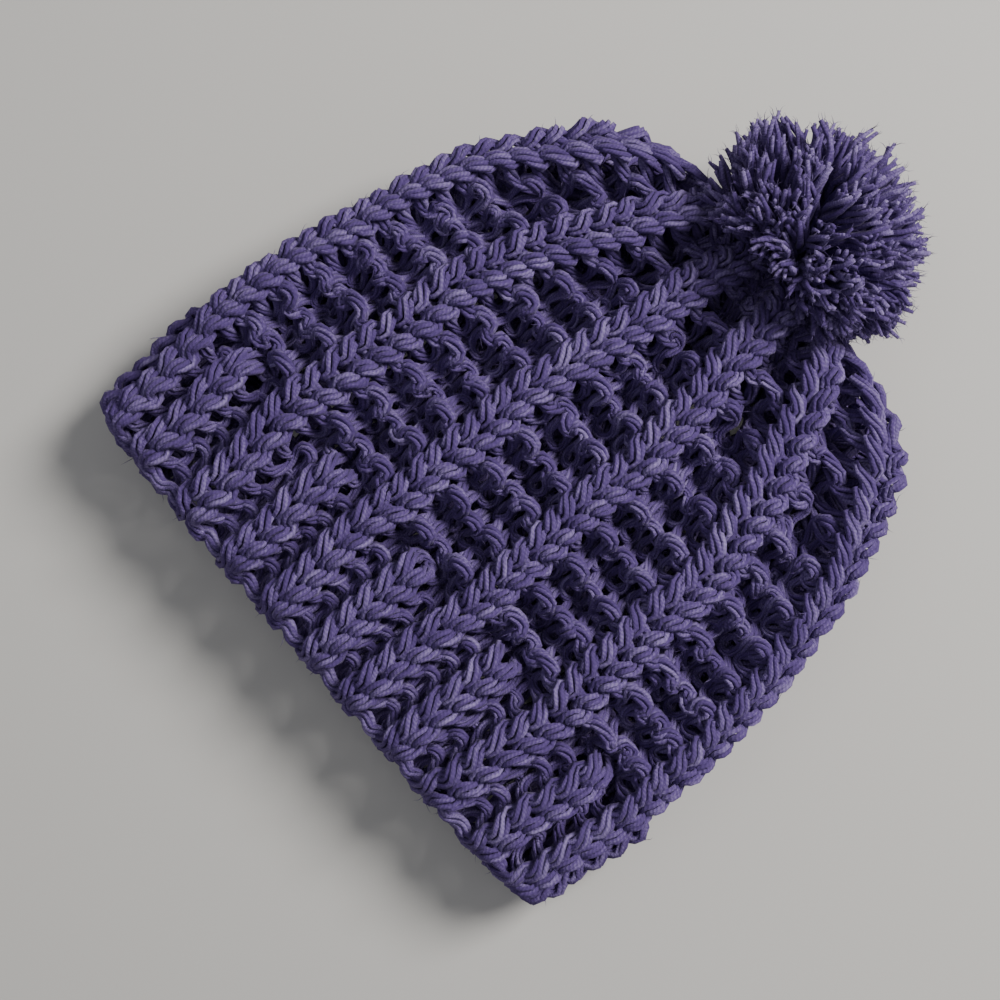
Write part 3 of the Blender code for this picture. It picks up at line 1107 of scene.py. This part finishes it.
tubes, run = grow_strands()
pompom = join_strands("pompom_strands", tubes, run)
pompom.data.materials.append(cut_yarn_painted_shade)
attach(pompom, "root")
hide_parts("pompom")

# %% Fray the cut ends
FIBRES_A_STRAND = 2
FRAYED_LENGTH = (0.0015, 0.0042)
FRAYED_ROOT = 0.0006
FRAYED_SPREAD = 0.0003
FRAYED_AIM = 0.45

ends = np.repeat(tubes[:, -1].mean(axis=1), FIBRES_A_STRAND, axis=0)
ahead = unit(ends - np.repeat(tubes[:, -2].mean(axis=1), FIBRES_A_STRAND, axis=0))
ways = unit(ahead + chance.normal(0, FRAYED_AIM, ends.shape))
starts = ends - FRAYED_ROOT * ahead + chance.normal(0, FRAYED_SPREAD, ends.shape)
frayed = lay_fibres("pompom_fibres", starts, ways, chance.uniform(*FRAYED_LENGTH, len(ends)))
frayed.data.materials.append(cut_yarn_painted_shade)
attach(frayed, "root")
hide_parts("pompom")

# %% [markdown]
# ## The tie
#
# The knot that draws the crown shut and its stem into the pompom are hidden. They could
# be wound from strands as well, but nothing of them shows, so they keep their solid. It
# has no map along the yarn, so the finish is worked out from the place in the object:
# slanting plies from a wave, and fibres from noise.

# %% Tie finish
TIE_BUMP = 0.0005


def tie_finish():
    """Make the finish of yarn that has no map, from places in the object."""
    finish = Finish("violet tie yarn")
    place = finish.add("TexCoord", {}, {}, "Object")
    slant = {"Vector": place, "Scale": 160.0, "Distortion": 1.5}
    plies = finish.add("TexWave", {"bands_direction": "DIAGONAL"}, slant, "Fac")
    fibres = finish.add("TexNoise", {}, {"Vector": place, "Scale": 1800.0, "Detail": 3.0})
    # the plies' wave in the colour is painted shade between the plies and painted light on them
    share = plies * 0.5 + fibres * 0.5
    colour_as_wool(finish, share, fibres, plies * 0.8 + fibres * 0.2, TIE_BUMP)
    return finish.material


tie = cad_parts["pompom_tie"]
tie.data.materials.clear()
tie.data.materials.append(tie_finish())

# %% [markdown]
# ## Floor, light and camera
#
# The floor is one plain pale plane, so that nothing but the hat draws the eye. The light
# comes from one large soft lamp beyond the crown, as from a window, because low light
# along the columns shows every loop. A picture of a room could light the hat as well, but
# a weak lamp overhead and a pale surrounding are enough to keep the gaps from going
# black. The camera looks almost straight down, with the brim to the lower left, at the
# angle of the photograph.

# %% Floor
bpy.ops.mesh.primitive_plane_add(size=4.0, location=(0, 0, 0))
floor = bpy.context.object
floor.name = "floor"
paint = Finish("pale floor")
paint.set(Base_Color=(0.60, 0.585, 0.56, 1.0), Roughness=0.9)
floor.data.materials.append(paint.material)

# %% Lamps
LIT_PLACE = Vector((0, 0.06, 0))


def area_lamp(name, place, size, power, colour):
    """Hang a round soft lamp that faces the hat."""
    light = bpy.data.lights.new(name, "AREA")
    light.shape = "DISK"
    light.size = size
    light.energy = power
    light.color = colour
    lamp = bpy.data.objects.new(name, light)
    lamp.location = place
    lamp.rotation_euler = (LIT_PLACE - Vector(place)).to_track_quat("-Z", "Y").to_euler()
    bpy.context.scene.collection.objects.link(lamp)
    print("lamp:", name, "of", power, "W,", size, "m across")


area_lamp("window", place=(0.25, 1.05, 1.03), size=0.6, power=26, colour=(1.0, 0.98, 0.95))
area_lamp("fill", place=(-0.35, -0.20, 1.5), size=1.2, power=2.2, colour=(0.93, 0.95, 1.0))

# %% Pale surrounding
world = bpy.data.worlds.new("pale room")
world.use_nodes = True
surrounding = world.node_tree.nodes["Background"].inputs
surrounding["Color"].default_value = (0.86, 0.88, 0.92, 1)
surrounding["Strength"].default_value = 0.25
bpy.context.scene.world = world

# %% Camera
DISTANCE = 0.60
VIEW_WIDTH = 0.350
AIM = Vector((-0.001, 0.0612, 0.020))
TILT = math.radians(3.0)

right = Vector((0.649, 0.760, 0.0)).normalized()
up = Vector((-right.y, right.x, 0.0))
back = (Vector((0, 0, 1)) * math.cos(TILT) - up * math.sin(TILT)).normalized()
camera_data = bpy.data.cameras.new("camera")
camera_data.sensor_width = 36.0
camera_data.lens = camera_data.sensor_width * DISTANCE / VIEW_WIDTH
camera = bpy.data.objects.new("camera", camera_data)
turned = Matrix((right, back.cross(right), back)).transposed().to_4x4()
camera.matrix_world = Matrix.Translation(AIM + back * DISTANCE) @ turned
bpy.context.scene.collection.objects.link(camera)
bpy.context.scene.camera = camera
print("the camera sees", round(1000 * VIEW_WIDTH), "mm across from", DISTANCE, "m away")
